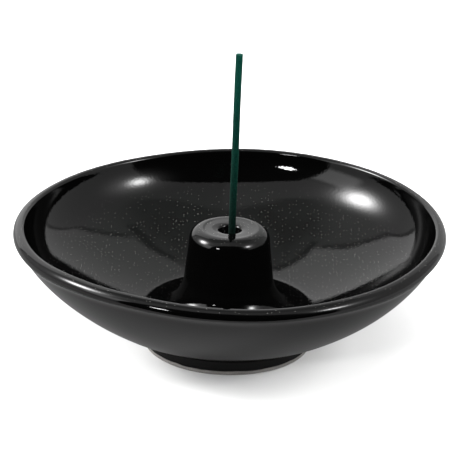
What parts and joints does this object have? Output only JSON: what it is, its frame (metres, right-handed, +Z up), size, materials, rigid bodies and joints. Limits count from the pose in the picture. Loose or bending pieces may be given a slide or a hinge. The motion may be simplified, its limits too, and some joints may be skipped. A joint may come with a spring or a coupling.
{
  "type": "incense burner",
  "caption": "Shallow round glazed ceramic dish on a foot ring, with a central tapered post whose bore holds an incense stick upright.",
  "frame": {"origin": "middle of the foot ring's resting face, on the surface the burner stands on", "axes": "+Z up through the dish and the post's bore; the stick leans towards +X; the dish, foot ring and post are round about Z"},
  "size_m": [0.127, 0.127, 0.09],
  "materials": {
    "glaze": "gloss black glaze over stoneware",
    "bare_clay": "black glaze, wiped off to bare grey clay where the ring stands",
    "incense": "matte pressed wood powder, dyed dark green"
  },
  "bodies": {
    "burner": {"dish": "glaze", "foot_ring": "bare_clay", "stick_post": "glaze"},
    "stick": {"incense_stick": "incense"}
  },
  "joints": [
    {"name": "stick_lift", "type": "slide", "parent": "burner", "child": "stick", "axis": [0.0157, 0, 0.9999], "range_m": [0, 0.04]}
  ]
}
